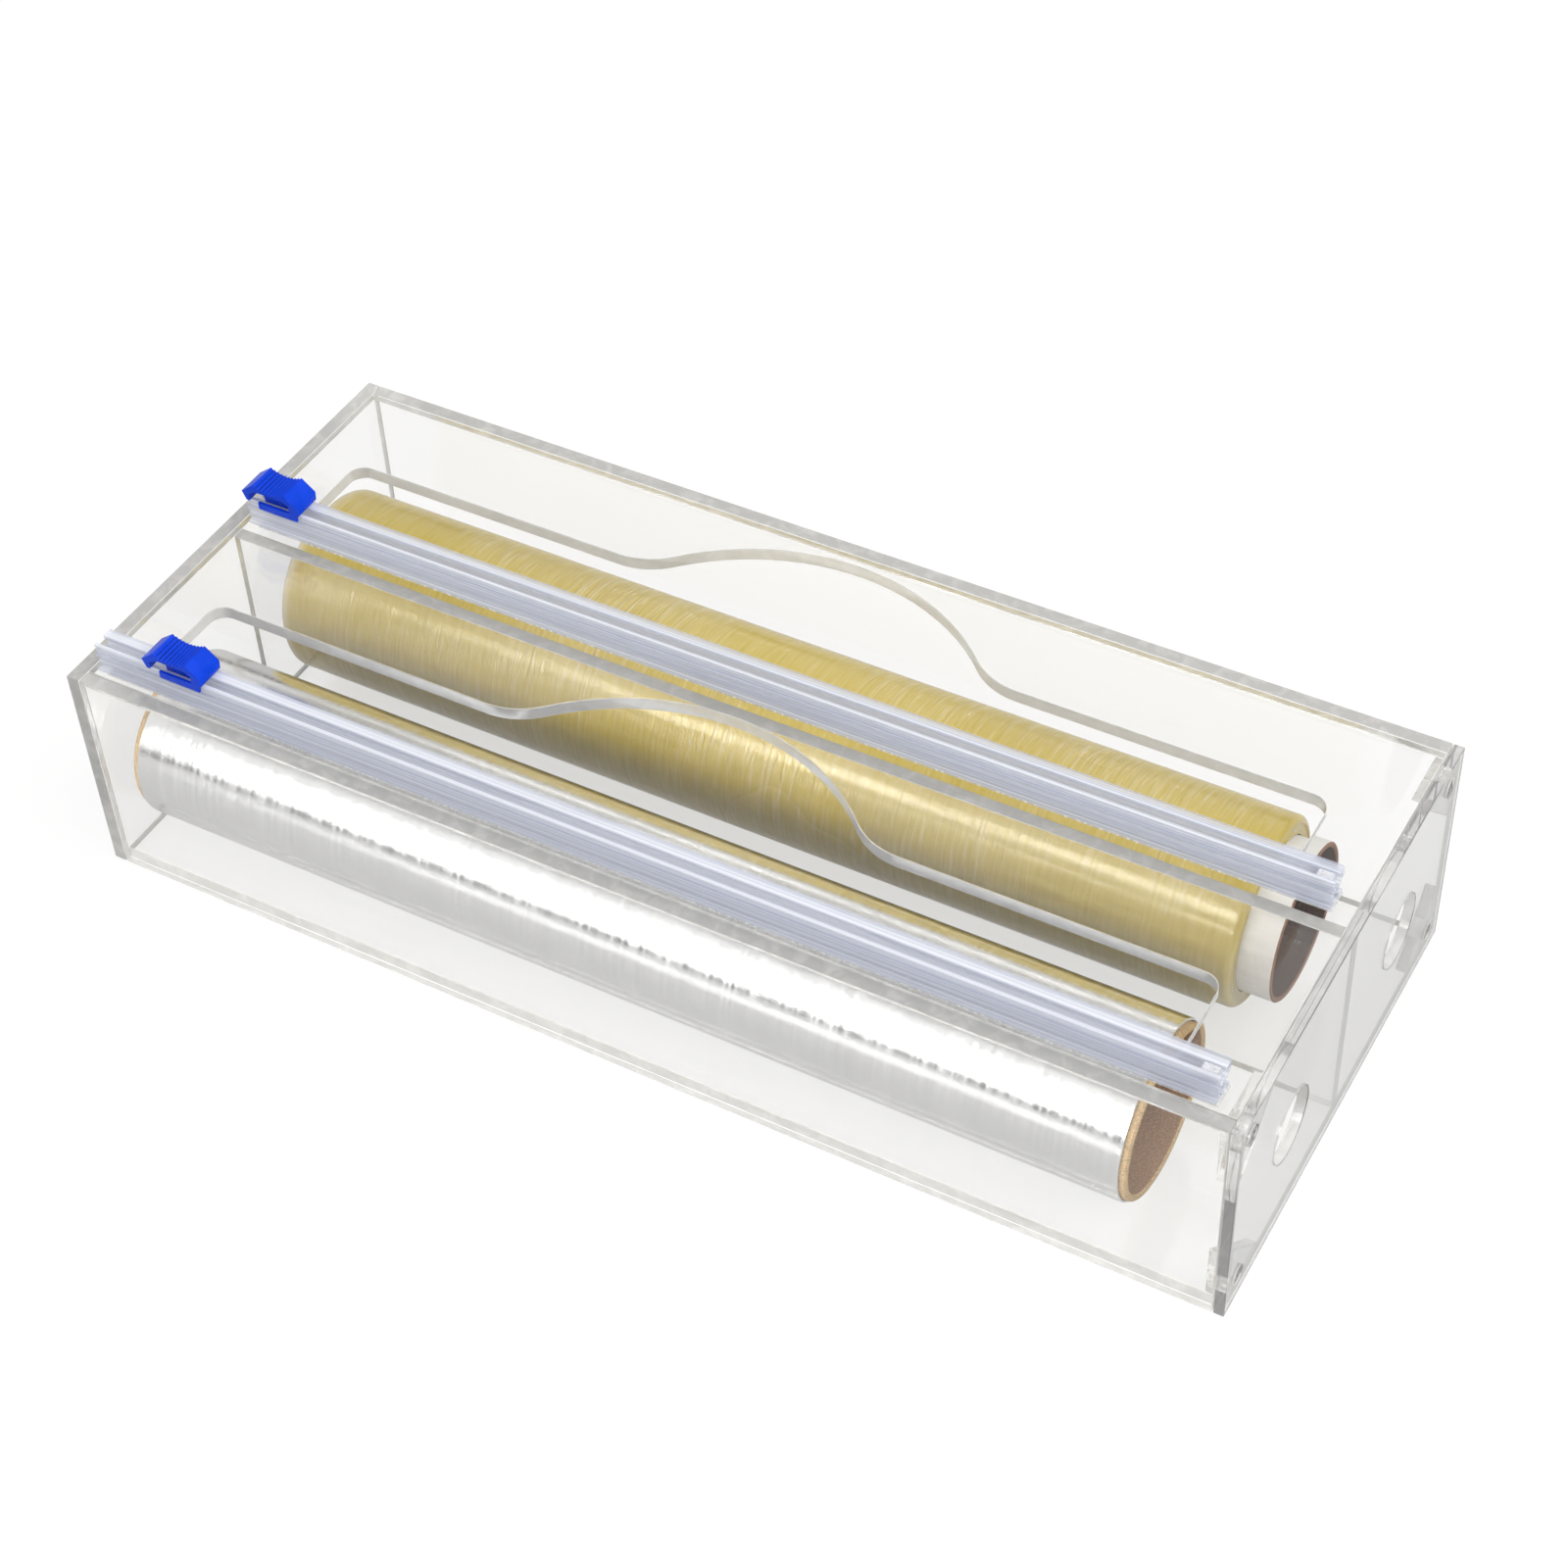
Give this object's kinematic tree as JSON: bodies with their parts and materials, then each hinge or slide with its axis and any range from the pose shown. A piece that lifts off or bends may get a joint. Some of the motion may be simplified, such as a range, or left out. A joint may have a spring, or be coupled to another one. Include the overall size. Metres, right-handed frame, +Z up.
{
  "type": "two-roll cling film and foil dispenser",
  "caption": "Clear acrylic box dispenser holding a cling film roll and a foil roll side by side, with slide cutters on top and a magnet-held end door.",
  "frame": {"origin": "middle of the footprint, on the surface the case lies on", "axes": "+X along the rolls towards the removable end door, +Y towards the back, +Z up"},
  "size_m": [0.35, 0.1468, 0.0886],
  "materials": {
    "clear_acrylic": "clear polished acrylic sheet",
    "clear_track": "clear extruded plastic with fine draw lines",
    "foam_tape": "clear double-sided foam tape",
    "blue_plastic": "moulded, semi-gloss",
    "blade_steel": "thin ground blade",
    "plated_magnet": "nickel plated",
    "yellow_film": "glossy wound film",
    "white_card": "white tube with a brown bore",
    "aluminium_foil": "bright wound foil",
    "brown_card": "brown kraft card"
  },
  "bodies": {
    "case": {"top_panel": "clear_acrylic", "bottom_panel": "clear_acrylic", "front_panel": "clear_acrylic", "back_panel": "clear_acrylic", "left_end_panel": "clear_acrylic", "divider_panel": "clear_acrylic", "lower_front_gusset": "clear_acrylic", "lower_rear_gusset": "clear_acrylic", "upper_front_gusset": "clear_acrylic", "upper_rear_gusset": "clear_acrylic", "lower_front_case_magnet": "plated_magnet", "lower_rear_case_magnet": "plated_magnet", "upper_front_case_magnet": "plated_magnet", "upper_rear_case_magnet": "plated_magnet", "front_cutter_track": "clear_track", "front_cutter_tape": "foam_tape", "front_end_stop": "clear_track", "rear_cutter_track": "clear_track", "rear_cutter_tape": "foam_tape", "rear_end_stop": "clear_track"},
    "door": {"door_panel": "clear_acrylic", "lower_front_door_magnet": "plated_magnet", "lower_rear_door_magnet": "plated_magnet", "upper_front_door_magnet": "plated_magnet", "upper_rear_door_magnet": "plated_magnet"},
    "front_cutter": {"front_slider": "blue_plastic", "front_slider_blade": "blade_steel"},
    "rear_cutter": {"rear_slider": "blue_plastic", "rear_slider_blade": "blade_steel"},
    "film_roll": {"film_core": "white_card", "film_winding": "yellow_film"},
    "foil_roll": {"foil_core": "brown_card", "foil_winding": "aluminium_foil"}
  },
  "joints": [
    {"name": "door_pull_off", "type": "slide", "parent": "case", "child": "door", "axis": [1, 0, 0], "range_m": [0, 0.12]},
    {"name": "front_cutter_slide", "type": "slide", "parent": "case", "child": "front_cutter", "axis": [1, 0, 0], "range_m": [-0.018, 0.2935]},
    {"name": "rear_cutter_slide", "type": "slide", "parent": "case", "child": "rear_cutter", "axis": [1, 0, 0], "range_m": [0, 0.3115]},
    {"name": "film_roll_spin", "type": "hinge", "parent": "case", "child": "film_roll", "pos_m": [0, 0.0313, 0.0317], "axis": [1, 0, 0], "continuous": true},
    {"name": "foil_roll_spin", "type": "hinge", "parent": "case", "child": "foil_roll", "pos_m": [0, -0.0409, 0.0286], "axis": [1, 0, 0], "continuous": true}
  ]
}
